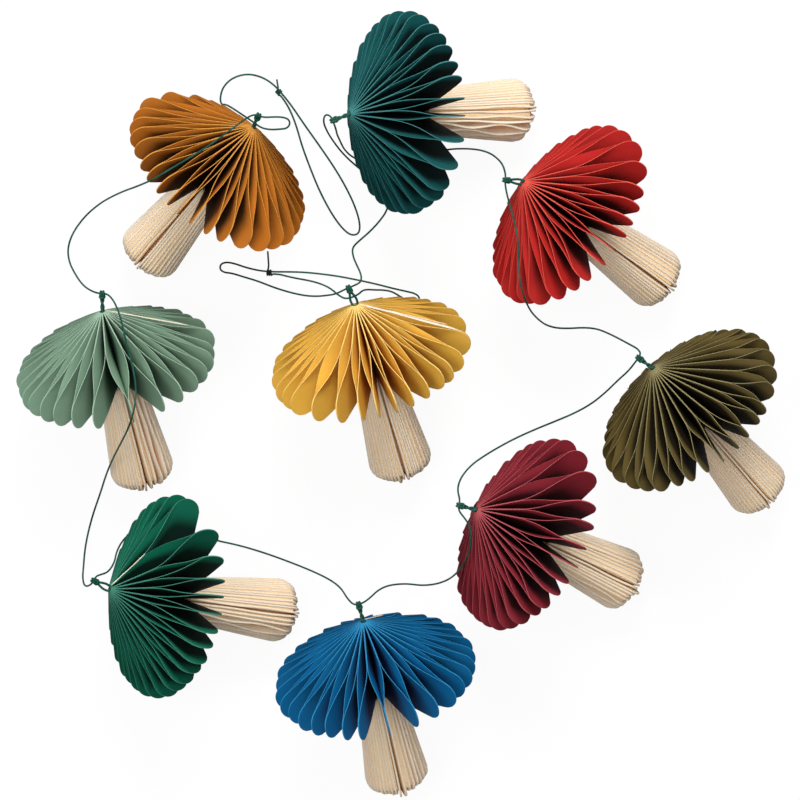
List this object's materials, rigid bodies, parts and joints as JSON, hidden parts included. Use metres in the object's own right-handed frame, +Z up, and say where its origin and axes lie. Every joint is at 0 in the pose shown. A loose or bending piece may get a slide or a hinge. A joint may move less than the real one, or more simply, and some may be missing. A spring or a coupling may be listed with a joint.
{
  "type": "honeycomb paper garland",
  "caption": "Garland of toadstool-shaped honeycomb paper ornaments in mixed colours, each tied by its tip to a thin waxed cord with a hanging loop at either end.",
  "frame": {"origin": "middle of the mushrooms' footprint, at the surface they lie on", "axes": "+Z up from the surface, +X to the right and +Y away from the viewer of the flat layout seen from above"},
  "size_m": [0.428, 0.4377, 0.1038],
  "materials": {
    "teal_paper": "matt",
    "red_paper": "matt",
    "olive_paper": "matt",
    "burgundy_paper": "matt",
    "yellow_paper": "matt",
    "blue_paper": "matt",
    "dark_green_paper": "matt",
    "sage_paper": "matt",
    "ochre_paper": "matt",
    "cream_paper": "matt",
    "waxed_cord": "waxed"
  },
  "bodies": {
    "root": {"teal_cap": "teal_paper", "teal_stem": "cream_paper", "teal_hanger": "waxed_cord", "red_cap": "red_paper", "red_stem": "cream_paper", "red_hanger": "waxed_cord", "olive_cap": "olive_paper", "olive_stem": "cream_paper", "olive_hanger": "waxed_cord", "burgundy_cap": "burgundy_paper", "burgundy_stem": "cream_paper", "burgundy_hanger": "waxed_cord", "yellow_cap": "yellow_paper", "yellow_stem": "cream_paper", "yellow_hanger": "waxed_cord", "blue_cap": "blue_paper", "blue_stem": "cream_paper", "blue_hanger": "waxed_cord", "dark_green_cap": "dark_green_paper", "dark_green_stem": "cream_paper", "dark_green_hanger": "waxed_cord", "sage_cap": "sage_paper", "sage_stem": "cream_paper", "sage_hanger": "waxed_cord", "ochre_cap": "ochre_paper", "ochre_stem": "cream_paper", "ochre_hanger": "waxed_cord", "main_cord": "waxed_cord", "end_knot_a": "waxed_cord", "end_knot_b": "waxed_cord"}
  },
  "joints": []
}
